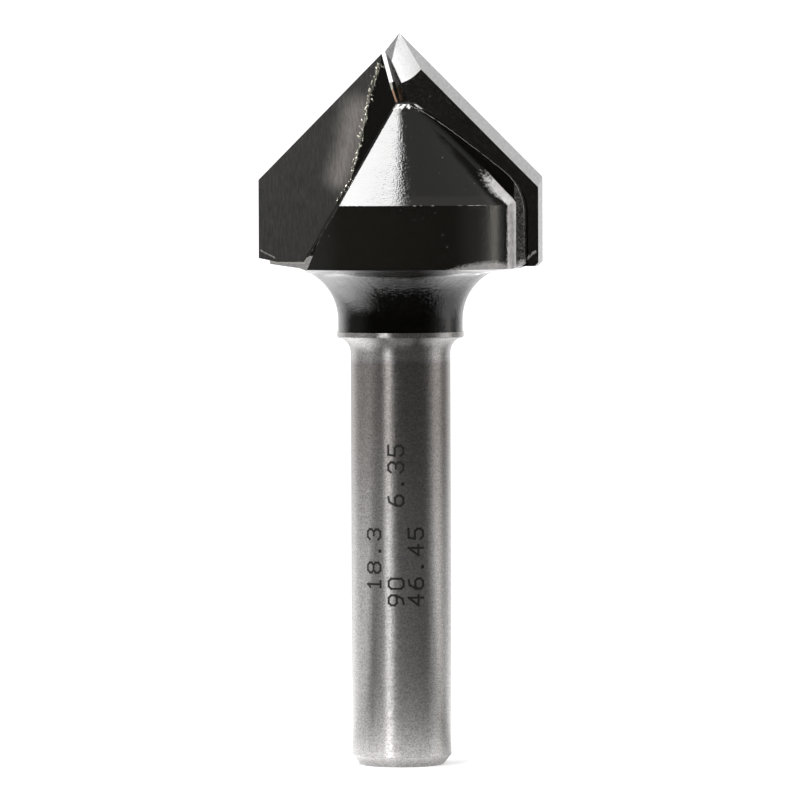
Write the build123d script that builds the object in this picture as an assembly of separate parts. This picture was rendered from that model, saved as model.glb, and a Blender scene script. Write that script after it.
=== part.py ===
from build123d import *
import math
import os

# Two-flute V groove router bit, point up. The origin is the centre of the shank's end face, Z is the axis of
# rotation and both rake faces lie in the plane Y = 0. The wing with the point tip reaches towards +X and its
# rake face looks to +Y. The wing with the side tip is the same wing turned by half a turn.

# Overall sizes, in millimetres and degrees as all that follow
overall_length = 46.45
cutting_diameter = 18.27
vee_angle = 90.0
side_edge_height = 5.65

# Shank
shank_diameter = 6.35
shank_chamfer_width = 0.53
shank_chamfer_height = 0.65
shank_fillet_radius = 1.0
shank_fillet_rise = 0.93

# Collar, neck and flare
collar_diameter = 8.06
collar_height = 0.38
collar_chamfer = 0.08
neck_diameter = 7.94
neck_height = 0.8
flare_radius = 3.28
flare_rise = 2.9

# Head as turned: shallow underside, rim, straight wall, shoulder and cone up to a small flat top
point_overhang = 4.55
tip_stand = 0.705
underside_angle = 9.0
rim_chamfer_width = 0.7
rim_chamfer_height = 0.3
shoulder_radius = 3.5
head_top_diameter = 3.96
head_cone_widening = 6.0

# Relief milled behind each cutting edge, down to a smaller cylinder and cone
relief_depth = 0.78
core_top_diameter = 3.83
core_cone_narrowing = 3.0
lip_thickness = 0.35
relief_fillet = 0.5

# Gullet in front of each rake face, milled in two passes: one beside the cone and a steeper one at the foot
gullet_lean = 30.9
gullet_top_offset = 0.25
gullet_wall_draft = 9.5
foot_pass_lean = 23.6
foot_pass_top_offset = 1.21
foot_pass_draft = 7.0
gullet_fillet = 0.35
gullet_undercut = 0.15

# Carbide tips and the braze that holds them
tip_thickness = 1.4
tip_proud = 0.05
tip_foot_height = 0.465
tip_wall_clearance = 0.05
tip_corner_chamfer = 0.3
edge_relief = 20.5
flank_relief = 3.0
braze_gap = 0.1

# The side tip is ground a little lower than the point tip, and its foot is higher, with a long sloping corner
side_edge_drop = 0.17
side_foot_rise = 0.265
side_corner_width = 1.155
side_corner_height = 0.235

# The steel below the side tip is ground away with it, in two slopes: where each starts and how far it rises
ledge_inner = 5.68
ledge_bend = 6.5
ledge_bend_rise = 0.31
ledge_outer = 8.6
ledge_outer_rise = 0.62

# Ground point: the nose of the point tip crosses the axis, beside a slit between the two tips
nose_reach = 0.94
nose_angle = 38.5
nose_relief = 49.5
slit_lean = 15.1
slit_width = 0.24
end_draft = 28.0
gash_inner_offset = 0.25
gash_inner_drop = 3.2
gash_outer_offset = 1.6
gash_outer_drop = 2.34
gash_hollow = 0.06

# Bead of braze in the foot of the slit
bead_radius = 0.13
bead_height = 1.45

# Values that follow from the sizes above
shank_radius = shank_diameter / 2
collar_radius = collar_diameter / 2
neck_radius = neck_diameter / 2
cutting_radius = cutting_diameter / 2
head_radius = cutting_radius - tip_stand
core_radius = head_radius - relief_depth
head_top_radius = head_top_diameter / 2
half_vee = math.radians(vee_angle / 2)
head_cone = half_vee + math.radians(head_cone_widening)
core_cone = half_vee - math.radians(core_cone_narrowing)
vee_base = overall_length - cutting_radius / math.tan(half_vee)
tip_foot = vee_base - side_edge_height
head_base = tip_foot - tip_foot_height
head_top = overall_length - point_overhang
neck_top = head_base - flare_rise
collar_top = neck_top - neck_height
shank_length = collar_top - collar_height
flare_top_radius = neck_radius + flare_radius - math.sqrt(flare_radius**2 - flare_rise**2)
rim_width = head_radius - rim_chamfer_width - flare_top_radius
rim_height = head_base + rim_width * math.tan(math.radians(underside_angle))
shoulder_height = head_top - (head_radius - head_top_radius) / math.tan(head_cone)
core_shoulder = head_top - (core_radius - core_top_diameter / 2) / math.tan(core_cone)
nose_height = overall_length - nose_reach / math.tan(math.radians(nose_angle))
nose_foot = head_top + braze_gap
shank_fillet_width = shank_fillet_radius - math.sqrt(shank_fillet_radius**2 - shank_fillet_rise**2)
seat_depth = tip_thickness + braze_gap
lip_depth = seat_depth + lip_thickness
peak = Vector(0, 0, overall_length)
reach = 2 * overall_length
half_turn = Rot(0, 0, 180)


def leaning(angle):
    """Sideways travel for each millimetre of height of a line that leans by this angle from the axis."""
    return math.tan(math.radians(angle))


def turned_blank():
    """The bar as it leaves the lathe, with a solid head."""
    flare_middle = math.asin(flare_rise / flare_radius) / 2
    fillet_middle = math.asin(shank_fillet_rise / shank_fillet_radius) / 2
    with BuildPart() as blank:
        with BuildSketch(Plane.XZ):
            with BuildLine():
                Polyline(
                    (0, 0),
                    (shank_radius - shank_chamfer_width, 0),
                    (shank_radius, shank_chamfer_height),
                    (shank_radius, shank_length - shank_fillet_rise),
                )
                ThreePointArc(
                    (shank_radius, shank_length - shank_fillet_rise),
                    (
                        shank_radius + shank_fillet_radius * (1 - math.cos(fillet_middle)),
                        shank_length - shank_fillet_rise + shank_fillet_radius * math.sin(fillet_middle),
                    ),
                    (shank_radius + shank_fillet_width, shank_length),
                )
                Polyline(
                    (shank_radius + shank_fillet_width, shank_length),
                    (collar_radius - collar_chamfer, shank_length),
                    (collar_radius, shank_length + collar_chamfer),
                    (collar_radius, collar_top),
                    (neck_radius, collar_top),
                    (neck_radius, neck_top),
                )
                ThreePointArc(
                    (neck_radius, neck_top),
                    (
                        neck_radius + flare_radius * (1 - math.cos(flare_middle)),
                        neck_top + flare_radius * math.sin(flare_middle),
                    ),
                    (flare_top_radius, head_base),
                )
                Polyline(
                    (flare_top_radius, head_base),
                    (head_radius - rim_chamfer_width, rim_height),
                    (head_radius, rim_height + rim_chamfer_height),
                    (head_radius, shoulder_height),
                    (head_top_radius, head_top),
                    (0, head_top),
                    (0, 0),
                )
            make_face()
        revolve(axis=Axis.Z)
        rings = blank.edges().filter_by(GeomType.CIRCLE)
        shoulder = rings.filter_by_position(Axis.Z, shoulder_height, shoulder_height)
        fillet(shoulder, shoulder_radius)
    return blank.part


def relief_form():
    """What the relief cutter leaves: the smaller core, and a slab that keeps both tip seats and their lips."""
    with BuildPart() as form:
        with BuildSketch(Plane.XZ):
            Polygon(
                (0, 0),
                (core_radius, 0),
                (core_radius, core_shoulder),
                (0, core_shoulder + core_radius / math.tan(core_cone)),
                align=None,
            )
        revolve(axis=Axis.Z)
        with Locations((0, 0, reach / 2)):
            Box(reach, 2 * lip_depth, reach)
        lip_faces = form.faces().filter_by(Plane.XZ)
        inner_corners = lip_faces.edges().filter_by(lambda edge: abs(edge.center().X) < core_radius)
        above_bench = inner_corners.filter_by_position(Axis.Z, 0, head_top + core_radius, inclusive=(False, False))
        fillet(above_bench, relief_fillet)
    return form.part


def gullet_pass(angle, top_offset, draft):
    """What one pass mills in front of the side tip's rake face, with a filleted root along its leaning wall."""
    lean = math.radians(angle)
    root = (-top_offset, tip_proud, head_top)
    along = (math.sin(lean), 0, math.cos(lean))
    across = (math.cos(lean), 0, -math.sin(lean))
    with BuildPart() as cutter:
        with BuildSketch(Plane(origin=root, x_dir=across, z_dir=along)) as section:
            Polygon(
                (0, 0),
                (reach * leaning(draft), -reach),
                (-reach, -reach),
                (-reach, 0),
                align=None,
            )
            fillet(section.vertices().sort_by_distance((0, 0))[0], gullet_fillet)
        extrude(amount=reach, both=True)
        with Locations((0, 0, head_base - gullet_undercut - reach)):
            Box(4 * reach, 4 * reach, 2 * reach, mode=Mode.SUBTRACT)
    return cutter.part


def gullet():
    """The whole gullet in front of the side tip's rake face."""
    beside_cone = gullet_pass(gullet_lean, gullet_top_offset, gullet_wall_draft)
    at_foot = gullet_pass(foot_pass_lean, foot_pass_top_offset, foot_pass_draft)
    return beside_cone + at_foot


def slit_edge(height):
    """Where the point tip's end line stands across the axis at this height, in the rake plane."""
    return (nose_height - height) * leaning(slit_lean) - nose_reach


def side_edge(height):
    """The same line of the side tip, on the far side of the slit and turned into the point tip's wing."""
    return slit_width / math.cos(math.radians(slit_lean)) - slit_edge(height)


def inner_edge(height):
    """Where the inner edge of both tips stands: from the slit it passes just clear of the wall's outward bend."""
    bend_drop = (foot_pass_top_offset - gullet_top_offset) / (leaning(gullet_lean) - leaning(foot_pass_lean))
    bend = gullet_top_offset + bend_drop * leaning(gullet_lean) + tip_wall_clearance
    inner_top = side_edge(nose_foot)
    slope = (bend - inner_top) / (bend_drop + braze_gap)
    return inner_top + (nose_foot - height) * slope


def point_outline():
    """The point tip's corners in the rake plane."""
    return [
        (0, overall_length),
        (cutting_radius, vee_base),
        (cutting_radius, tip_foot + tip_corner_chamfer),
        (cutting_radius - tip_corner_chamfer, tip_foot),
        (inner_edge(tip_foot), tip_foot),
        (inner_edge(nose_foot), nose_foot),
        (slit_edge(nose_foot), nose_foot),
        (-nose_reach, nose_height),
    ]


def side_outline():
    """The side tip's corners in the rake plane, from where its inner end meets the cutting edge."""
    vee = math.tan(half_vee)
    foot = tip_foot + side_foot_rise
    end_height = ((overall_length - side_edge_drop) * vee - side_edge(0)) / (vee + leaning(slit_lean))
    return [
        (side_edge(end_height), end_height),
        (cutting_radius, vee_base - side_edge_drop),
        (cutting_radius, foot + side_corner_height),
        (cutting_radius - side_corner_width, foot),
        (inner_edge(foot), foot),
        (inner_edge(nose_foot), nose_foot),
    ]


def below(solid, point, normal):
    """The part of a solid on the inner side of a ground plane, which has this outward normal."""
    return split(solid, bisect_by=Plane(origin=point, z_dir=normal), keep=Keep.BOTTOM)


def gash_wheel():
    """The wheel that grinds the gash, whose lowest line starts at the peak and sinks below the gash's corners."""
    inner = Vector(gash_inner_offset, -tip_thickness, overall_length - gash_inner_drop)
    outer = Vector(gash_outer_offset, -tip_thickness, overall_length - gash_outer_drop)
    outward = (inner - peak).cross(outer - peak).normalized()
    along = ((inner + outer) / 2 - outward * gash_hollow - peak).normalized()
    outward = (outward - along * outward.dot(along)).normalized()
    radius = (outer - inner).length ** 2 / (8 * gash_hollow) + gash_hollow / 2
    return Plane(origin=peak + outward * radius, z_dir=along) * Cylinder(radius, reach)


def ground_tip(outline, drop=0):
    """A carbide tip in the point tip's wing: a flat blank with its edge, flank and gash ground."""
    edge = math.radians(edge_relief)
    flank = math.radians(flank_relief)
    with BuildPart() as blank:
        with BuildSketch(Plane.XZ):
            Polygon(*outline, align=None)
        extrude(amount=tip_thickness)
    land = (math.cos(half_vee) * math.cos(edge), -math.sin(edge), math.sin(half_vee) * math.cos(edge))
    tip = below(blank.part, peak - Vector(0, 0, drop), land)
    tip = below(tip, (cutting_radius, 0, 0), (math.cos(flank), -math.sin(flank), 0))
    return tip - gash_wheel()


def end_normal(lean):
    """Outward normal of a tip's inner end, whose line in the rake plane leans by this angle from the axis."""
    draft = math.radians(end_draft)
    slope = math.radians(lean)
    return (
        -math.cos(slope) * math.cos(draft),
        -math.cos(slope) * math.sin(draft),
        -math.sin(slope) * math.cos(draft),
    )


def point_tip():
    """The tip whose nose crosses the axis, with the relief of the nose and its drafted inner end."""
    turn = math.radians(nose_angle)
    relief = math.radians(nose_relief)
    nose = (-math.cos(turn) * math.cos(relief), -math.sin(relief), math.sin(turn) * math.cos(relief))
    tip = below(ground_tip(point_outline()), peak, nose)
    return below(tip, (-nose_reach, 0, nose_height), end_normal(slit_lean))


def side_tip():
    """The tip that stops at the slit, still in the point tip's wing."""
    tip = ground_tip(side_outline(), side_edge_drop)
    return below(tip, (side_edge(nose_foot), 0, nose_foot), end_normal(-slit_lean))


def ledge_grind():
    """What is ground off below the side tip's wing, before the wing is turned to its side."""
    with BuildPart() as cutter:
        with BuildSketch(Plane.XZ):
            Polygon(
                (ledge_inner, head_base - ledge_bend_rise),
                (ledge_inner, head_base),
                (ledge_bend, head_base + ledge_bend_rise),
                (ledge_outer, head_base + ledge_outer_rise),
                (ledge_outer, head_base - ledge_bend_rise),
                align=None,
            )
        extrude(amount=reach)
    return cutter.part


def seat(outline):
    """The pocket milled for a tip: its outline and thickness with room for the braze, open towards the rake."""
    with BuildPart() as pocket:
        with BuildSketch(Plane.XZ.offset(-lip_depth)):
            Polygon(*outline, align=None)
            offset(amount=braze_gap, kind=Kind.INTERSECTION)
        extrude(amount=lip_depth + seat_depth)
    return pocket.part


def seam(outline, tip, steel):
    """The braze between a tip and its seat, no wider than the steel around it."""
    floor = Pos(0, -tip_proud - reach / 2, 0) * Box(reach, reach, 2 * reach)
    return (seat(outline) & steel & floor) - tip


def bead(neighbours):
    """Braze that fills the foot of the slit and wets the end of each tip, moulded round what it meets."""
    middle = (slit_edge(head_top) - side_edge(head_top)) / 2
    along = (-math.sin(math.radians(slit_lean)), 0, math.cos(math.radians(slit_lean)))
    place = Plane(origin=(middle, 0, head_top), z_dir=along)
    rod = place * Cylinder(bead_radius, bead_height, align=(Align.CENTER, Align.CENTER, Align.MIN))
    for neighbour in neighbours:
        rod = rod - neighbour
    return rod


def router_bit():
    """Every piece of the bit in its place, by node name."""
    front_gullet = gullet()
    back_gullet = half_turn * front_gullet
    braze_film = Pos(0, 0, head_top) * Cylinder(
        head_top_radius, braze_gap, align=(Align.CENTER, Align.CENTER, Align.MIN)
    )
    head = (turned_blank() & relief_form()) - half_turn * ledge_grind()
    milled = head - front_gullet - back_gullet
    wetted = (head + braze_film) - front_gullet - back_gullet
    body = milled - seat(point_outline()) - half_turn * seat(side_outline())
    point = point_tip()
    side = side_tip()
    point_seam = seam(point_outline(), point, wetted)
    side_seam = half_turn * seam(side_outline(), side, wetted)
    side = half_turn * side
    return {
        "body": body,
        "point_tip": point,
        "side_tip": side,
        "point_braze": point_seam + bead([body, point, side, side_seam]),
        "side_braze": side_seam,
    }


os.makedirs("parts", exist_ok=True)
for name, piece in router_bit().items():
    export_step(piece, f"parts/{name}.step")
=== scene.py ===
import bmesh
import bpy
import math
import random
from mathutils import Matrix, Vector


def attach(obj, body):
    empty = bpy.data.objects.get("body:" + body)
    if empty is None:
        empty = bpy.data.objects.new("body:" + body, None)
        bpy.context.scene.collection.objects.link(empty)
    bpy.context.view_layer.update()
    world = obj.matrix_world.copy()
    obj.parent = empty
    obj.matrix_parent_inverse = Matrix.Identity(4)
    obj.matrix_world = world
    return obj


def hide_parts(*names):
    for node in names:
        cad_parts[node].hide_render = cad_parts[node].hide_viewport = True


# A two-flute V groove router bit on a white studio floor. Places in the object are in millimetres here, with
# the origin at the centre of the shank's end face, Z along the axis and both rake faces in the plane Y = 0.
# Blender's own lengths are metres.

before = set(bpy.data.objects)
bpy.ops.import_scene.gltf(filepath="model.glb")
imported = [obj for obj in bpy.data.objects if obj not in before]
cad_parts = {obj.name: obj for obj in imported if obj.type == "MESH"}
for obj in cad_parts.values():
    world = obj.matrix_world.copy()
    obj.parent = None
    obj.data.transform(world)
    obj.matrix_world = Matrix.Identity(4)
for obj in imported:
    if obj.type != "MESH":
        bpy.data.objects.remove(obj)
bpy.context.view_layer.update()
MM = 0.001

# Camera: how the photograph was taken
VIEW_TURN = math.radians(9.5)
VIEW_ROLL = math.radians(-0.2)
CAMERA_DISTANCE = 420.0
CAMERA_HEIGHT = 39.0
AIM_HEIGHT = 23.15
AIM_ASIDE = -0.045
SCALE = 0.0635
SENSOR = 36.0
IMAGE_SIDE = 800

# Sizes of the modelled form that the finish refers to. The paint ends at the collar's top. The lip is the
# steel behind each tip, measured from the rake plane.
SHANK_RADIUS = 3.175
COLLAR_TOP = 27.5
HEAD_BASE = 31.2
LIP_DEPTH = 1.85

# Colours. Where a surface has two tones, a texture mixes them.
PAINT_BLACK = (0.0055, 0.0053, 0.004, 1)
TIP_BLACK = (0.009, 0.0085, 0.007, 1)
WALL_HUE = (1.0, 0.97, 0.8)
# Pale tones of matt paint, also used for painted highlights and a painted reflection on the head
MATT_AND_HIGHLIGHT_TONES = [(0.85, 0.82, 0.815, 1), (1.0, 0.97, 0.97, 1)]
# Near white on the paint's edges: worn paint, and a painted highlight line along them
RUBBED_EDGE_AND_HIGHLIGHT = (0.95, 0.93, 0.9, 1)
SCRATCHED_TIP = (0.3, 0.29, 0.28, 1)
STEEL_TONES = [(0.27, 0.26, 0.257, 1), (0.49, 0.475, 0.47, 1)]
# Painted shade on the upper shank, as a colour it multiplies
PAINTED_SHADE_TINT = (0.64, 0.62, 0.6, 1)
PLAIN_RAKE_TONES = [(0.05, 0.049, 0.046, 1), (0.13, 0.127, 0.12, 1)]
# Lighter tones of the painted highlight on a rake face
HIGHLIGHT_RAKE_TONES = [(0.15, 0.139, 0.13, 1), (0.48, 0.445, 0.42, 1)]
CHIPPED_RAKE = (0.7, 0.69, 0.67, 1)
COPPER = (0.68, 0.42, 0.27, 1)
PALE_BRAZE = (0.85, 0.83, 0.75, 1)
BEAD_BRAZE = (0.76, 0.73, 0.63, 1)
MARK_BLACK = (0.012, 0.011, 0.010, 1)

# Gloss of the paint, and the depth of its skin
PAINT_IOR = 1.7
SKIN_DEPTH = 0.013

# Rounding of the edges, and the angle from which an edge counts as one
BODY_ROUNDING = 0.06
BODY_EDGE = math.radians(28)
TIP_ROUNDING = 0.012
TIP_EDGE = math.radians(9)
WELD = 0.0005

# Height and distance from the axis of the line where the grinding of a rake face stops
ROUGH_LINE = [
    (35.7, 4.09),
    (36.9, 3.37),
    (37.6, 3.05),
    (40.0, 2.46),
    (42.15, 2.0),
    (43.2, 1.74),
    (44.47, 1.24),
]

# Beads of braze along that line
BEADS = 190
SMALL_SHARE = 0.8
SMALL_BEAD = (0.02, 0.055)
LARGE_BEAD = (0.055, 0.11)

# Marks: text, azimuth and height of the foot of each line, written in digits of this size
DIGIT_HEIGHT = 0.95
DIGIT_PITCH = 1.05
STROKE = 0.14
STRIP_STEPS = 4
MARK_LIFT = 0.004
MARK_LINES = [("18.3", -33, 11.3), ("90    6.35", -6, 10.3), ("46.45", 17, 10.3)]

# Strokes of each digit, on a grid that is this many units high
DIGIT_UNITS = 6
DIGITS = {
    "0": [[(0, 1), (0, 5), (1, 6), (3, 6), (4, 5), (4, 1), (3, 0), (1, 0), (0, 1)]],
    "1": [[(0.8, 4.8), (2, 6), (2, 0)], [(0.8, 0), (3.2, 0)]],
    "3": [
        [(0, 5), (1, 6), (3, 6), (4, 5), (4, 4), (3, 3), (1.6, 3)],
        [(3, 3), (4, 2), (4, 1), (3, 0), (1, 0), (0, 1)],
    ],
    "4": [[(3, 0), (3, 6), (0, 2), (4, 2)]],
    "5": [[(4, 6), (0.4, 6), (0, 3.4), (3, 3.4), (4, 2.4), (4, 1), (3, 0), (1, 0), (0, 1)]],
    "6": [
        [(3.4, 6), (1.4, 5.6), (0, 3), (0, 1), (1, 0), (3, 0)],
        [(3, 0), (4, 1), (4, 2.4), (3, 3.3), (1, 3.3), (0, 2.4)],
    ],
    "8": [
        [(1, 3.2), (0, 4), (0, 5), (1, 6), (3, 6), (4, 5), (4, 4), (3, 3.2), (1, 3.2), (0, 2.2)],
        [(0, 2.2), (0, 1), (1, 0), (3, 0), (4, 1), (4, 2.2), (3, 3.2)],
    ],
    "9": [
        [(0.6, 0), (2.6, 0.4), (4, 3), (4, 5), (3, 6), (1, 6)],
        [(1, 6), (0, 5), (0, 3.6), (1, 2.7), (3, 2.7), (4, 3.6)],
    ],
    ".": [[(1.8, 0), (2.2, 0), (2.2, 0.4), (1.8, 0.4), (1.8, 0)]],
}

# Table: its radius and corners, its tone and the glow that makes it white for the camera
FLOOR_RADIUS = 72.0
FLOOR_CORNERS = 96
FLOOR_TONE = 0.8
FLOOR_GLOW = 0.45

# What reflections see: azimuth, elevation, angle up to which it is full, angle where it ends, level
WORLD_GLOWS = [
    (-179, 0, 30, 64, 1.25),
    (-130, -14, 10, 24, 0.6),
    (-100, 5, 10, 45, 0.12),
    (95, 5, 10, 45, 0.15),
    (100, -22, 10, 27, 0.9),
    (60, 75, 25, 75, 0.28),
]

# Lamps at one distance from a place in the head: name, azimuth, elevation, width, height, radiance, colour
LAMP_DISTANCE = 300
LAMP_AIM_HEIGHT = 35
LAMPS = [
    ("overhead_left", -100, 74, 150, 180, 11.5, (1, 1, 1)),
    ("front_left", -28, 50, 40, 40, 22.0, (1, 1, 1)),
    ("streak_strip", -31, 24, 40, 90, 34.0, (1, 1, 1)),
    ("gash_card", -63, 36, 110, 110, 2.4, (1, 1, 1)),
    ("right_strip", 101, 9, 40, 124, 1.6, (1.0, 0.92, 0.76)),
    ("right_fill", 95, 27, 150, 70, 6.0, (1, 1, 1)),
]

right = Vector((math.cos(VIEW_TURN), math.sin(VIEW_TURN), 0))
towards = Vector((math.sin(VIEW_TURN), -math.cos(VIEW_TURN), 0))
up = Vector((0, 0, 1))


def make_camera():
    """The camera at the photograph's place, with a long lens."""
    data = bpy.data.cameras.new("photo_camera")
    camera = bpy.data.objects.new("photo_camera", data)
    bpy.context.scene.collection.objects.link(camera)
    aim = right * AIM_ASIDE + up * AIM_HEIGHT
    place = towards * CAMERA_DISTANCE + up * CAMERA_HEIGHT + right * AIM_ASIDE
    data.sensor_width = SENSOR
    data.lens = SENSOR * (place - aim).length / (SCALE * IMAGE_SIDE)
    data.clip_start = 0.01
    data.clip_end = 20
    turn = (aim - place).to_track_quat("-Z", "Y").to_matrix().to_4x4()
    camera.matrix_world = Matrix.Translation(place * MM) @ turn @ Matrix.Rotation(VIEW_ROLL, 4, "Z")
    bpy.context.scene.camera = camera


def heading(azimuth, elevation):
    """Direction from the object: azimuth 0 is towards the camera, positive to the picture's right."""
    a = math.radians(azimuth)
    e = math.radians(elevation)
    return (right * math.sin(a) + towards * math.cos(a)) * math.cos(e) + up * math.sin(e)


def softbox(name, azimuth, elevation, width, height, radiance, colour):
    """A rectangular lamp that faces the head. Radiance 1 looks like plain white in a mirror."""
    data = bpy.data.lights.new(name, "AREA")
    data.shape = "RECTANGLE"
    data.size = width * MM
    data.size_y = height * MM
    data.energy = radiance * math.pi * data.size * data.size_y
    data.color = colour
    lamp = bpy.data.objects.new(name, data)
    bpy.context.scene.collection.objects.link(lamp)
    way = heading(azimuth, elevation)
    turn = (-way).to_track_quat("-Z", "Y").to_matrix().to_4x4()
    place = up * LAMP_AIM_HEIGHT + way * LAMP_DISTANCE
    lamp.matrix_world = Matrix.Translation(place * MM) @ turn


class Graph:
    """A short way to write a node tree."""

    def __init__(self, tree):
        self.tree = tree
        tree.nodes.clear()

    def node(self, kind, **settings):
        node = self.tree.nodes.new(kind)
        for name, value in settings.items():
            setattr(node, name, value)
        return node

    def feed(self, socket, value):
        """Links a socket to the value's node, or sets it where the value is a plain one."""
        if isinstance(value, bpy.types.NodeSocket):
            self.tree.links.new(value, socket)
        else:
            socket.default_value = value

    def math(self, operation, *values, clamp=False):
        node = self.node("ShaderNodeMath", operation=operation, use_clamp=clamp)
        for socket, value in zip(node.inputs, values):
            self.feed(socket, value)
        return node.outputs[0]

    def vector(self, operation, *values):
        node = self.node("ShaderNodeVectorMath", operation=operation)
        for socket, value in zip(node.inputs, values):
            self.feed(socket, value)
        return node.outputs["Value" if operation in ("DOT_PRODUCT", "LENGTH") else "Vector"]

    def product(self, first, *others):
        for other in others:
            first = self.math("MULTIPLY", first, other)
        return first

    def total(self, first, *others):
        for other in others:
            first = self.math("ADD", first, other)
        return first

    def largest(self, first, *others):
        for other in others:
            first = self.math("MAXIMUM", first, other)
        return first

    def ramp(self, value, low, high, start=0.0, end=1.0):
        """Smooth step from start to end as the value goes from low to high."""
        node = self.node("ShaderNodeMapRange", interpolation_type="SMOOTHSTEP")
        for socket, given in zip(node.inputs, (value, low, high, start, end)):
            self.feed(socket, given)
        return node.outputs[0]

    def mix(self, factor, first, second):
        """Colour between the first, at factor 0, and the second, at factor 1."""
        node = self.node("ShaderNodeMix", data_type="RGBA")
        self.feed(node.inputs["Factor"], factor)
        self.feed(node.inputs[6], first)
        self.feed(node.inputs[7], second)
        return node.outputs[2]

    def place(self):
        """Place in the object's own frame, in millimetres."""
        coordinates = self.node("ShaderNodeTexCoord").outputs["Object"]
        scaled = self.node("ShaderNodeVectorMath", operation="SCALE")
        self.feed(scaled.inputs[0], coordinates)
        scaled.inputs["Scale"].default_value = 1 / MM
        return scaled.outputs[0]

    def parts(self, vector):
        """The X, Y and Z parts of a vector."""
        node = self.node("ShaderNodeSeparateXYZ")
        self.feed(node.inputs[0], vector)
        return node.outputs[0], node.outputs[1], node.outputs[2]

    def noise(self, vector, scale, detail=2.0, roughness=0.5):
        node = self.node("ShaderNodeTexNoise")
        self.feed(node.inputs["Vector"], vector)
        node.inputs["Scale"].default_value = scale
        node.inputs["Detail"].default_value = detail
        node.inputs["Roughness"].default_value = roughness
        return node.outputs[0]

    def along(self, value, points, top):
        """A line through points (value, result), for results from 0 to the top one."""
        low = points[0][0]
        span = points[-1][0] - low
        part = self.math("DIVIDE", self.math("SUBTRACT", value, low), span, clamp=True)
        node = self.node("ShaderNodeValToRGB")
        stops = node.color_ramp.elements
        while len(stops) < len(points):
            stops.new(0.5)
        for stop, (place, result) in zip(stops, points):
            stop.position = (place - low) / span
            stop.color = grey(result / top)
        self.feed(node.inputs[0], part)
        return self.math("MULTIPLY", node.outputs[0], top)

    def apart(self, x, z, start, end):
        """Distance from a straight line between two places (x, z), seen along Y."""
        length = math.dist(start, end)
        way = ((end[0] - start[0]) / length, (end[1] - start[1]) / length)
        dx = self.math("SUBTRACT", x, start[0])
        dz = self.math("SUBTRACT", z, start[1])
        along = self.math("ADD", self.math("MULTIPLY", dx, way[0]), self.math("MULTIPLY", dz, way[1]))
        inside = self.math("MINIMUM", self.math("MAXIMUM", along, 0.0), length)
        off_x = self.math("SUBTRACT", dx, self.math("MULTIPLY", inside, way[0]))
        off_z = self.math("SUBTRACT", dz, self.math("MULTIPLY", inside, way[1]))
        squares = self.math("ADD", self.math("POWER", off_x, 2.0), self.math("POWER", off_z, 2.0))
        return self.math("SQRT", squares)


def grey(level):
    return (level, level, level, 1)


def make_world():
    """White for the camera. Reflections see a white wall behind, a pale ceiling and a dark front."""
    world = bpy.data.worlds.new("studio")
    world.use_nodes = True
    bpy.context.scene.world = world
    g = Graph(world.node_tree)
    way = g.node("ShaderNodeTexCoord").outputs["Generated"]
    total = 0.0
    for azimuth, elevation, inner, outer, level in WORLD_GLOWS:
        facing = g.vector("DOT_PRODUCT", way, tuple(heading(azimuth, elevation)))
        edge = (math.cos(math.radians(outer)), math.cos(math.radians(inner)))
        total = g.math("ADD", total, g.ramp(facing, *edge, 0.0, level))
    rays = g.node("ShaderNodeLightPath")
    level = g.math("MAXIMUM", total, rays.outputs["Is Camera Ray"])
    shade = g.node("ShaderNodeBackground")
    g.feed(shade.inputs["Strength"], level)
    shade.inputs["Color"].default_value = grey(1.0)
    output = g.node("ShaderNodeOutputWorld")
    g.feed(output.inputs["Surface"], shade.outputs[0])


def lit_table(g, place, aside, front):
    """What reflections see behind and beside the object: a lit table round a dark wedge and the shadow."""
    level = 2.8
    wedge = -0.3
    lean = 0.11
    lit_border = -6.5
    dark_border = -0.5
    shadow_middle = right * 2.5
    shadow_core = 5.0
    shadow_end = 15.0
    border = g.math("MULTIPLY_ADD", aside, lean, front)
    border = g.math("MULTIPLY_ADD", g.math("ABSOLUTE", aside), wedge, border)
    from_shadow = g.vector("LENGTH", g.vector("SUBTRACT", place, tuple(shadow_middle)))
    behind_border = g.ramp(border, lit_border, dark_border, level, 0.0)
    outside_shadow = g.ramp(from_shadow, shadow_core, shadow_end, 0.0, 1.0)
    dimmer_to_the_right = g.ramp(aside, 4.0, 45.0, 1.0, 0.3)
    return g.product(behind_border, outside_shadow, dimmer_to_the_right)


def ring_at_foot(g, aside, front, distance):
    """What reflections see of the table close round the foot: a glowing ring of painted light that is
    brightest in front.
    """
    base = 1.2
    by_front = 4.0
    by_side = -1.5
    by_side_squared = 3.0
    least = 0.5
    side = g.math("DIVIDE", aside, distance)
    ahead = g.math("DIVIDE", front, distance)
    level = g.math("MULTIPLY_ADD", side, by_side, g.math("MULTIPLY_ADD", ahead, by_front, base))
    level = g.math("MULTIPLY_ADD", g.math("MULTIPLY", side, side), by_side_squared, level)
    inner_edge = g.ramp(distance, 3.0, 4.6, 0.22, 0.95)
    outer_edge = g.ramp(distance, 5.0, 7.5, 1.0, 0.005)
    return g.product(g.math("MAXIMUM", level, least), inner_edge, outer_edge)


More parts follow.
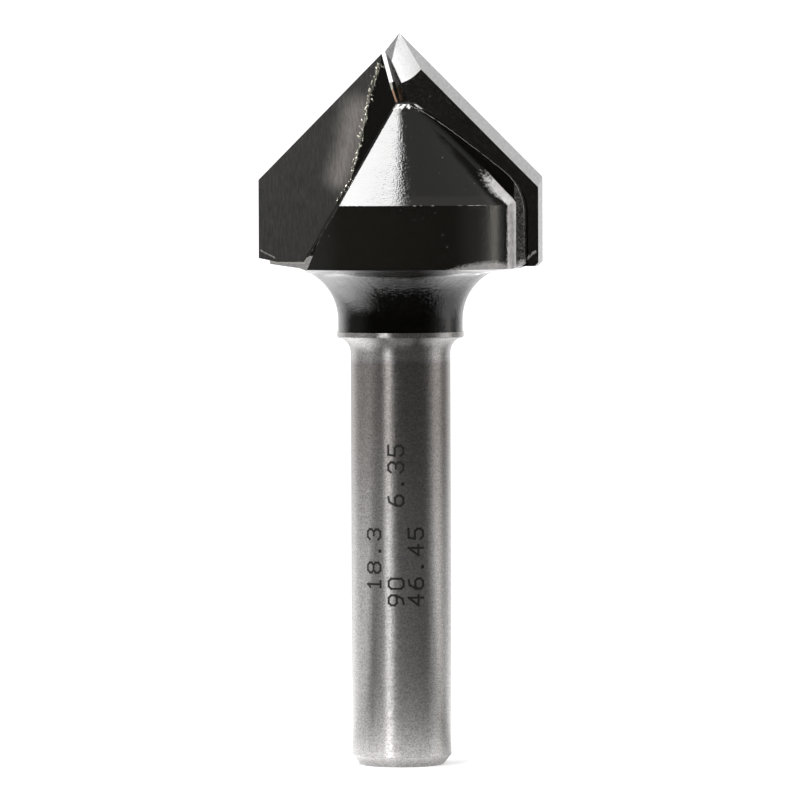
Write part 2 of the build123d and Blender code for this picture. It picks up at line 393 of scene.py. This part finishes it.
def floor_material():
    """White for the camera, with the object's shadow. Reflections see a lit part, a dark part and a ring."""
    material = bpy.data.materials.new("floor")
    material.use_nodes = True
    g = Graph(material.node_tree)
    place = g.place()
    aside = g.vector("DOT_PRODUCT", place, tuple(right))
    front = g.vector("DOT_PRODUCT", place, tuple(towards))
    distance = g.vector("LENGTH", place)
    rays = g.node("ShaderNodeLightPath")
    mirrored = g.node("ShaderNodeEmission")
    level = g.math("ADD", lit_table(g, place, aside, front), ring_at_foot(g, aside, front, distance))
    g.feed(mirrored.inputs["Strength"], level)
    card = g.node("ShaderNodeBsdfDiffuse")
    card.inputs["Color"].default_value = grey(FLOOR_TONE)
    glow = g.node("ShaderNodeEmission")
    g.feed(glow.inputs["Strength"], g.math("MULTIPLY", rays.outputs["Is Camera Ray"], FLOOR_GLOW))
    plain = g.node("ShaderNodeAddShader")
    g.feed(plain.inputs[0], card.outputs[0])
    g.feed(plain.inputs[1], glow.outputs[0])
    both = g.node("ShaderNodeMixShader")
    g.feed(both.inputs[0], rays.outputs["Is Glossy Ray"])
    g.feed(both.inputs[1], plain.outputs[0])
    g.feed(both.inputs[2], mirrored.outputs[0])
    output = g.node("ShaderNodeOutputMaterial")
    g.feed(output.inputs["Surface"], both.outputs[0])
    return material


def make_floor():
    """A round table."""
    mesh = bpy.data.meshes.new("floor")
    shape = bmesh.new()
    bmesh.ops.create_circle(shape, cap_ends=True, segments=FLOOR_CORNERS, radius=FLOOR_RADIUS * MM)
    shape.to_mesh(mesh)
    shape.free()
    mesh.materials.append(floor_material())
    floor = bpy.data.objects.new("floor", mesh)
    bpy.context.scene.collection.objects.link(floor)


def new_material(name):
    """A material with its node tree and its one surface shader."""
    material = bpy.data.materials.new(name)
    material.use_nodes = True
    g = Graph(material.node_tree)
    shader = g.node("ShaderNodeBsdfPrincipled")
    output = g.node("ShaderNodeOutputMaterial")
    g.feed(output.inputs["Surface"], shader.outputs[0])
    return material, g, shader


def bump(g, shader, height, depth):
    """Relief on the surface, as deep in millimetres as given where the height is 1."""
    node = g.node("ShaderNodeBump")
    node.inputs["Strength"].default_value = 1.0
    node.inputs["Distance"].default_value = depth * MM
    g.feed(node.inputs["Height"], height)
    g.feed(shader.inputs["Normal"], node.outputs[0])


def stretched(g, place, x, y, z):
    """The place scaled along each axis, so that a texture on it is drawn out."""
    return g.vector("MULTIPLY", place, (x, y, z))


def orange_peel(g, place):
    """Height of the paint's skin: fine grain over soft waves."""
    fine = g.math("SUBTRACT", g.noise(place, 9.0, detail=1.0, roughness=0.6), 0.5)
    soft = g.noise(place, 1.0, detail=1.0)
    return g.math("MULTIPLY_ADD", fine, 1.3, soft)


def on_head(g, z):
    """1 on the head and 0 below it."""
    return g.math("GREATER_THAN", z, HEAD_BASE - 0.05)


def on_ledge(g, side_y, z, depth, top):
    """1 on the ledge ground off below the tips: close to the rake plane and lower than its top."""
    return g.math("MULTIPLY", g.math("LESS_THAN", side_y, depth), g.math("LESS_THAN", z, top))


def in_fillet(g, side_x, side_y, z, ragged):
    """The fillet beside the lip, from the wall up into the cone, with a ragged edge that thins out. Its pale
    matt paint is partly a painted highlight.
    """
    bend_foot = 35.6
    bend_top = 36.2
    depth_below = 2.32
    depth_above = 2.5
    depth = g.ramp(z, bend_foot, bend_top, depth_below, depth_above)
    thinning = g.ramp(z, 36.3, 38.4, 0.15, -1.3)
    rougher_above = g.product(ragged, g.ramp(z, 35.8, bend_top), 2.5)
    edge = g.total(depth, ragged, thinning, rougher_above)
    mask = g.ramp(g.math("SUBTRACT", edge, side_y), 0.0, 0.1)
    outside_lip = g.math("GREATER_THAN", side_y, LIP_DEPTH + 0.01)
    fading = g.ramp(g.math("ADD", z, ragged), 37.2, 38.8, 1.0, 0.0)
    away_from_top = g.math("GREATER_THAN", side_x, 3.5)
    return g.product(mask, outside_lip, fading, away_from_top)


def foot_wear_and_painted_reflection(g, side_x, side_y, z, ragged):
    """Half pale below a ragged plane at the foot of a wing, which rises outwards and backwards: worn paint,
    and a painted reflection of a small facet that is not modelled.
    """
    foot_x = 7.2
    foot_y = 2.6
    foot_z = 31.815
    rise_outwards = 0.625
    rise_back = 0.406
    raggedness = 0.6
    softness = 0.15
    pale_share = 0.5
    at_axis = foot_z - rise_outwards * foot_x - rise_back * foot_y
    level = g.math("MULTIPLY_ADD", side_x, rise_outwards, at_axis)
    level = g.math("MULTIPLY_ADD", side_y, rise_back, level)
    level = g.math("MULTIPLY_ADD", ragged, raggedness, level)
    return g.ramp(g.math("SUBTRACT", z, level), -softness, softness, pale_share, 0.0)


def matt_and_highlight_paint(g, place):
    """How pale and matt the paint is, from 0 to 1: in the fillet, and at foot, ledge, top rim, lip and
    flecks. In the fillet, at the foot and on the top rim the paleness is partly painted light.
    """
    x, y, z = g.parts(place)
    side_x = g.math("ABSOLUTE", x)
    side_y = g.math("ABSOLUTE", y)
    grain = g.noise(place, 9.0, detail=3.0, roughness=0.7)
    spots = g.noise(place, 3.0, detail=2.0)
    ragged = g.math("MULTIPLY_ADD", grain, 1.1, -0.55)
    head = on_head(g, z)
    behind_tip = g.math("MULTIPLY", g.math("LESS_THAN", g.math("MULTIPLY", x, y), 0.0), head)
    # Pale in the fillet: matt paint, and a painted highlight strip
    fillet = g.math("MULTIPLY", in_fillet(g, side_x, side_y, z, ragged), behind_tip)
    # Pale at the wing's foot: worn paint, and a painted reflection
    foot = g.math("MULTIPLY", foot_wear_and_painted_reflection(g, side_x, side_y, z, ragged), behind_tip)
    ledge = g.product(on_ledge(g, side_y, z, 0.09, 32.3), head, 0.4)
    # Pale spots along the cone's top rim: a painted highlight of the overhead lamp on the rounded rim
    near_top = g.ramp(g.math("ADD", z, ragged), 41.55, 41.75)
    rim = g.math("MULTIPLY", near_top, g.ramp(spots, 0.48, 0.56))
    in_lip = g.math("LESS_THAN", side_y, LIP_DEPTH + 0.01)
    outer = g.math("GREATER_THAN", side_x, 7.6)
    lip = g.product(in_lip, outer, g.ramp(grain, 0.3, 0.8, 0.0, 0.15))
    flecks = g.ramp(g.noise(place, 5.0, detail=3.0, roughness=0.75), 0.7, 0.74, 0.0, 0.25)
    flecks = g.math("MULTIPLY", flecks, head)
    return g.largest(fillet, foot, ledge, rim, lip, flecks)


def paint_material():
    """Glossy black paint, with a warm tone that is lightest on the head's wall and a skin that is deep on
    the flare.
    """
    material, g, shader = new_material("gloss_black_paint")
    place = g.place()
    z = g.parts(place)[2]
    spots = g.noise(place, 3.0, detail=2.0)
    matt_and_highlight = matt_and_highlight_paint(g, place)
    more_on_wall = g.ramp(z, 30.5, 32.0, 0.003, 0.012)
    less_on_cone = g.ramp(z, 36.0, 36.2, 0.0, -0.007)
    wall_tone = g.math("ADD", more_on_wall, less_on_cone)
    black = g.node("ShaderNodeCombineColor")
    for socket, share in zip(black.inputs, WALL_HUE):
        g.feed(socket, g.math("MULTIPLY", wall_tone, share))
    # Pale where the paint is matt, and where highlights and a reflection are painted on
    pale = g.mix(g.ramp(spots, 0.35, 0.65), *MATT_AND_HIGHLIGHT_TONES)
    g.feed(shader.inputs["Base Color"], g.mix(matt_and_highlight, black.outputs[0], pale))
    g.feed(shader.inputs["Metallic"], g.math("MULTIPLY", matt_and_highlight, 0.45))
    g.feed(shader.inputs["Roughness"], g.ramp(matt_and_highlight, 0.0, 1.0, 0.08, 0.5))
    shader.inputs["IOR"].default_value = PAINT_IOR
    deeper_on_flare = g.ramp(z, 28.2, 29.2, 1.0, 2.4)
    shallow_on_head = g.ramp(z, 30.8, 31.2, 1.0, 0.27)
    bump(g, shader, g.product(orange_peel(g, place), deeper_on_flare, shallow_on_head), SKIN_DEPTH)
    return material


def worn_edge_and_highlight():
    """The paint's rounded edges, worn through to bright steel here and there and most along the lip; their
    near-white colour is also a painted highlight.
    """
    material, g, shader = new_material("worn_edge_and_highlight")
    place = g.place()
    x, y, z = g.parts(place)
    side_y = g.math("ABSOLUTE", y)
    spots = g.noise(place, 2.6, detail=4.0, roughness=0.7)
    near_lip = g.math("LESS_THAN", g.math("ABSOLUTE", g.math("SUBTRACT", side_y, LIP_DEPTH)), 0.12)
    rubbed_and_lit = g.ramp(g.math("MULTIPLY_ADD", near_lip, 0.14, spots), 0.55, 0.6)
    rubbed_and_lit = g.math("MULTIPLY", rubbed_and_lit, g.ramp(z, 31.6, 33.5))
    ledge = g.product(on_ledge(g, side_y, z, 0.12, 32.4), on_head(g, z), 0.5)
    rubbed_and_lit = g.math("MAXIMUM", rubbed_and_lit, ledge)
    g.feed(shader.inputs["Base Color"], g.mix(rubbed_and_lit, PAINT_BLACK, RUBBED_EDGE_AND_HIGHLIGHT))
    g.feed(shader.inputs["Metallic"], g.math("MULTIPLY", rubbed_and_lit, 0.3))
    g.feed(shader.inputs["Roughness"], g.ramp(rubbed_and_lit, 0.0, 1.0, 0.1, 0.4))
    shader.inputs["IOR"].default_value = PAINT_IOR
    bump(g, shader, orange_peel(g, place), SKIN_DEPTH)
    return material


def steel_material():
    """Steel ground round its axis, so that lights smear along the shank. It is darker towards the head:
    painted shade.
    """
    material, g, shader = new_material("ground_steel")
    place = g.place()
    z = g.parts(place)[2]
    rings = g.noise(stretched(g, place, 1.5, 1.5, 16.0), 1.0, detail=3.0)
    grain = g.noise(place, 9.0, detail=3.0, roughness=0.7)
    both = g.math("MULTIPLY_ADD", rings, 0.25, grain)
    tone = g.mix(g.ramp(both, 0.45, 0.8), *STEEL_TONES)
    # Painted shade: the shank is darkened towards the head, up to just below the fillet
    towards_head = g.ramp(z, 12.0, 23.0)
    below_fillet = g.ramp(z, 25.4, 26.0, 1.0, 0.0)
    painted_shade = g.mix(g.math("MULTIPLY", towards_head, below_fillet), grey(1.0), PAINTED_SHADE_TINT)
    g.feed(shader.inputs["Base Color"], g.vector("MULTIPLY", tone, painted_shade))
    shader.inputs["Metallic"].default_value = 0.88
    shader.inputs["Roughness"].default_value = 0.37
    shader.inputs["Anisotropic"].default_value = 1.0
    along = g.node("ShaderNodeCombineXYZ")
    along.inputs["Z"].default_value = 1.0
    g.feed(shader.inputs["Tangent"], along.outputs[0])
    bump(g, shader, both, 0.011)
    return material


def ground_carbide(name, dark, light, roughness):
    """Carbide as the wheel leaves it, with fine strokes between two tones."""
    material, g, shader = new_material(name)
    strokes = g.noise(stretched(g, g.place(), 6.0, 14.0, 6.0), 1.0, detail=4.0, roughness=0.8)
    g.feed(shader.inputs["Base Color"], g.mix(g.ramp(strokes, 0.3, 0.7), grey(dark), grey(light)))
    shader.inputs["Metallic"].default_value = 0.75
    shader.inputs["Roughness"].default_value = roughness
    bump(g, shader, strokes, 0.012)
    return material


def rake_carbide(side):
    """The rake face of the tip on side -1 or 1: ground by upright strokes, black where it was left, and
    painted lighter in a diagonal strip as a highlight.
    """
    material, g, shader = new_material("rake_carbide")
    place = g.place()
    x, y, z = g.parts(place)
    away = g.math("MULTIPLY", x, side)
    strokes = g.noise(stretched(g, place, 9.0, 1.0, 1.2), 1.0, detail=5.0, roughness=0.8)
    cloud = g.noise(place, 0.4)

    rough_edge = g.along(z, ROUGH_LINE, 5.0)
    reach = g.math("MULTIPLY_ADD", g.noise(place, 3.0, detail=3.0), 0.4, away)
    left_black = g.ramp(g.math("SUBTRACT", reach, rough_edge), 0.12, 0.2, 1.0, 0.0)
    left_black = g.math("MULTIPLY", left_black, g.math("GREATER_THAN", z, ROUGH_LINE[0][0]))

    # A diagonal strip painted lighter and less metallic: a painted highlight of a lamp across the ground
    # strokes
    highlight_top = (2.75, 41.6)
    highlight_foot = (3.9, 37.3)
    highlight_band = g.math("MULTIPLY_ADD", cloud, 0.8, g.apart(away, z, highlight_top, highlight_foot))
    highlight_band = g.ramp(highlight_band, 0.2, 2.0, 1.0, 0.0)
    shade = g.math("MULTIPLY_ADD", g.ramp(strokes, 0.3, 0.75), 0.7, g.math("MULTIPLY", cloud, 0.3))
    metal = g.mix(highlight_band, g.mix(shade, *PLAIN_RAKE_TONES), g.mix(shade, *HIGHLIGHT_RAKE_TONES))

    chip_outer = (9.0, 32.65)
    chip_inner = (8.1, 32.2)
    chip = g.math("MULTIPLY_ADD", g.noise(place, 8.0), 0.12, g.apart(away, z, chip_outer, chip_inner))
    metal = g.mix(g.ramp(chip, 0.08, 0.12, 0.6, 0.0), metal, CHIPPED_RAKE)

    g.feed(shader.inputs["Base Color"], g.mix(left_black, metal, PAINT_BLACK))
    metallic = g.ramp(highlight_band, 0.0, 1.0, 0.85, 0.35)
    g.feed(shader.inputs["Metallic"], g.math("MULTIPLY", g.math("SUBTRACT", 1.0, left_black), metallic))
    g.feed(shader.inputs["Roughness"], g.ramp(left_black, 0.0, 1.0, 0.34, 0.2))
    bump(g, shader, strokes, 0.006)
    return material


def tip_paint():
    """Paint over the back and the inner end of a tip, scratched at its lower outer corner."""
    material, g, shader = new_material("tip_paint")
    place = g.place()
    x, y, z = g.parts(place)
    scratch_foot = (8.0, 31.8)
    scratch_top = (8.85, 32.6)
    scratch = g.apart(g.math("ABSOLUTE", x), z, scratch_foot, scratch_top)
    scratch = g.math("MULTIPLY_ADD", g.noise(place, 9.0, detail=3.0), 0.3, scratch)
    flecks = g.ramp(g.noise(place, 6.0, detail=4.0, roughness=0.8), 0.66, 0.72)
    shown = g.math("MAXIMUM", g.ramp(scratch, 0.15, 0.25, 1.0, 0.0), g.math("MULTIPLY", flecks, 0.3))
    g.feed(shader.inputs["Base Color"], g.mix(shown, TIP_BLACK, SCRATCHED_TIP))
    shader.inputs["Roughness"].default_value = 0.16
    shader.inputs["IOR"].default_value = PAINT_IOR
    bump(g, shader, orange_peel(g, place), SKIN_DEPTH)
    return material


def braze_material():
    """Braze, painted over but for the slit, with a copper line and a pale blob, and the ledge."""
    material, g, shader = new_material("braze")
    x, y, z = g.parts(g.place())
    line_top = (-0.51, 43.0)
    line_foot = (-0.18, 42.1)
    blob_top = (-0.62, 43.3)
    blob_foot = (-0.55, 42.95)
    line = g.ramp(g.apart(x, z, line_top, line_foot), 0.04, 0.08, 1.0, 0.0)
    blob = g.ramp(g.apart(x, z, blob_top, blob_foot), 0.12, 0.16, 1.0, 0.0)
    ledge = g.math("MULTIPLY", on_ledge(g, g.math("ABSOLUTE", y), z, 0.12, 32.2), 0.55)
    pale = g.math("MAXIMUM", blob, ledge)
    g.feed(shader.inputs["Base Color"], g.mix(pale, g.mix(line, PAINT_BLACK, COPPER), PALE_BRAZE))
    g.feed(shader.inputs["Metallic"], g.math("MULTIPLY", g.math("MAXIMUM", line, pale), 0.4))
    shader.inputs["Roughness"].default_value = 0.35
    shader.inputs["IOR"].default_value = PAINT_IOR
    return material


def plain_material(name, colour, metallic, roughness):
    """A material with one colour all over."""
    material, g, shader = new_material(name)
    shader.inputs["Base Color"].default_value = colour
    shader.inputs["Metallic"].default_value = metallic
    shader.inputs["Roughness"].default_value = roughness
    return material


def add_piece(name, shape, materials):
    """A new object from a bmesh, carried by the only body."""
    mesh = bpy.data.meshes.new(name)
    shape.to_mesh(mesh)
    shape.free()
    for material in materials:
        mesh.materials.append(material)
    piece = bpy.data.objects.new(name, mesh)
    bpy.context.scene.collection.objects.link(piece)
    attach(piece, "root")
    return piece


def dress(node, materials, choose, sharp, rounding, edge_material=-1):
    """A copy of a node that stands for it: its faces share out the materials and its edges are rounded."""
    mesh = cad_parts[node].data.copy()
    mesh.name = node + "_finish"
    mesh.materials.clear()
    for material in materials:
        mesh.materials.append(material)
    shape = bmesh.new()
    shape.from_mesh(mesh)
    bmesh.ops.remove_doubles(shape, verts=shape.verts, dist=WELD * MM)
    shape.normal_update()
    for face in shape.faces:
        face.smooth = True
        face.material_index = choose(face.calc_center_median() / MM, face.normal)
    for edge in shape.edges:
        edge.smooth = len(edge.link_faces) == 2 and edge.calc_face_angle() < sharp
    shape.to_mesh(mesh)
    shape.free()
    piece = bpy.data.objects.new(node + "_finish", mesh)
    bpy.context.scene.collection.objects.link(piece)
    bevel = piece.modifiers.new("rounded_edges", "BEVEL")
    bevel.width = rounding * MM
    bevel.segments = 2
    bevel.limit_method = "ANGLE"
    bevel.angle_limit = sharp
    bevel.harden_normals = True
    bevel.material = edge_material
    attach(piece, "root")
    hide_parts(node)
    return piece


def body_face(centre, normal):
    """Sorts the body's faces: 0 painted, 1 bright steel."""
    return 1 if centre.z < COLLAR_TOP else 0


def tip_face(side):
    """Sorts a tip's faces: 0 painted, 1 rake, 2 lands, 3 nose, 4 gash. The rake of side -1 looks to -Y."""
    square = 0.99
    ground_point = 42.5
    gash_slope = -0.6
    nose_slope = -0.37
    hidden_slope = -0.3

    def choose(centre, normal):
        across = normal.x * side
        facing = normal.y * side
        if facing > square:
            return 1
        if centre.z > ground_point and -square < facing < gash_slope:
            return 3 if across < nose_slope else 4
        if facing < -square or across < hidden_slope or normal.z < hidden_slope:
            return 0
        return 2

    return choose


def on_shank(spot, azimuth, foot):
    """A spot of a flat line of digits as it lies on the shank, where the line reads upwards."""
    angle = azimuth - (spot.y - DIGIT_HEIGHT / 2) / SHANK_RADIUS
    outwards = right * math.sin(angle) + towards * math.cos(angle)
    return outwards * (SHANK_RADIUS + MARK_LIFT) + up * (foot + spot.x)


def mark_strip(shape, start, end, azimuth, foot):
    """One straight piece of a digit's stroke, as a thin strip that follows the shank."""
    way = (end - start).normalized()
    start = start - way * STROKE / 2
    end = end + way * STROKE / 2
    across = Vector((-way.y, way.x)) * STROKE / 2
    rows = []
    for step in range(STRIP_STEPS + 1):
        middle = start.lerp(end, step / STRIP_STEPS)
        sides = (middle - across, middle + across)
        rows.append([shape.verts.new(on_shank(spot, azimuth, foot) * MM) for spot in sides])
    for low, high in zip(rows, rows[1:]):
        shape.faces.new((low[0], low[1], high[1], high[0]))


def mark_line(shape, text, azimuth, foot):
    """One line of digits. A blank in the text leaves its place empty."""
    unit = DIGIT_HEIGHT / DIGIT_UNITS
    for place, character in enumerate(text):
        for stroke in DIGITS.get(character, []):
            for start, end in zip(stroke, stroke[1:]):
                digit_foot = foot + place * DIGIT_PITCH
                mark_strip(shape, Vector(start) * unit, Vector(end) * unit, azimuth, digit_foot)


def add_marks():
    """Plain size numbers on the shank: cutting diameter, angle, shank diameter and overall length."""
    shape = bmesh.new()
    for text, azimuth, foot in MARK_LINES:
        mark_line(shape, text, math.radians(azimuth), foot)
    shape.normal_update()
    laser_mark = plain_material("laser_mark", MARK_BLACK, metallic=0.0, roughness=0.6)
    add_piece("size_marks", shape, [laser_mark])


def rough_line_at(height):
    """Distance of the rough line from the axis at this height."""
    for (z0, x0), (z1, x1) in zip(ROUGH_LINE, ROUGH_LINE[1:]):
        if height <= z1:
            return x0 + (x1 - x0) * (height - z0) / (z1 - z0)
    return ROUGH_LINE[-1][1]


def add_beads():
    """Beads of braze along the rough line of each rake face, larger and more scattered towards its top."""
    shape = bmesh.new()
    rng = random.Random(4)
    foot = ROUGH_LINE[0][0]
    rise = ROUGH_LINE[-1][0] - foot
    for side in (-1, 1):
        for count in range(BEADS):
            share = (count + rng.random()) / BEADS
            z = foot + rise * share
            kind = SMALL_BEAD if rng.random() < SMALL_SHARE else LARGE_BEAD
            size = rng.uniform(*kind) * (0.65 + 0.6 * share)
            x = (rough_line_at(z) + rng.gauss(0, 0.04 + 0.07 * share)) * side
            turn = Matrix.Rotation(rng.gauss(0.35, 0.5) * side, 4, "Y")
            stretch = Matrix.Diagonal((rng.uniform(0.5, 1.0), 0.5, rng.uniform(1.0, 2.6), 1))
            place = Matrix.Translation(Vector((x, 0.0, z)) * MM) @ turn @ stretch
            bmesh.ops.create_icosphere(shape, subdivisions=1, radius=size * MM, matrix=place)
    for face in shape.faces:
        face.smooth = True
    bright_braze = plain_material("braze_beads", BEAD_BRAZE, metallic=0.9, roughness=0.2)
    add_piece("braze_beads", shape, [bright_braze])


make_camera()
make_world()
make_floor()

coat = [paint_material(), steel_material(), worn_edge_and_highlight()]
dress("body", coat, body_face, BODY_EDGE, BODY_ROUNDING, edge_material=2)
# The nose and the gash are the same ground carbide as the lands, in darker tones: painted shade that sets
# how bright each facet looks
lands = ground_carbide("ground_lands", 0.42, 0.76, 0.4)
nose = ground_carbide("ground_nose_painted_shade", 0.28, 0.42, 0.4)
gash = ground_carbide("ground_gash_painted_shade", 0.42, 0.52, 0.35)
for name, side in (("point_tip", 1), ("side_tip", -1)):
    finish = [tip_paint(), rake_carbide(side), lands, nose, gash]
    dress(name, finish, tip_face(side), TIP_EDGE, TIP_ROUNDING)
for name in ("point_braze", "side_braze"):
    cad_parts[name].data.materials[0] = braze_material()
add_marks()
add_beads()

for lamp in LAMPS:
    softbox(*lamp)

bpy.context.scene.view_settings.view_transform = "Standard"
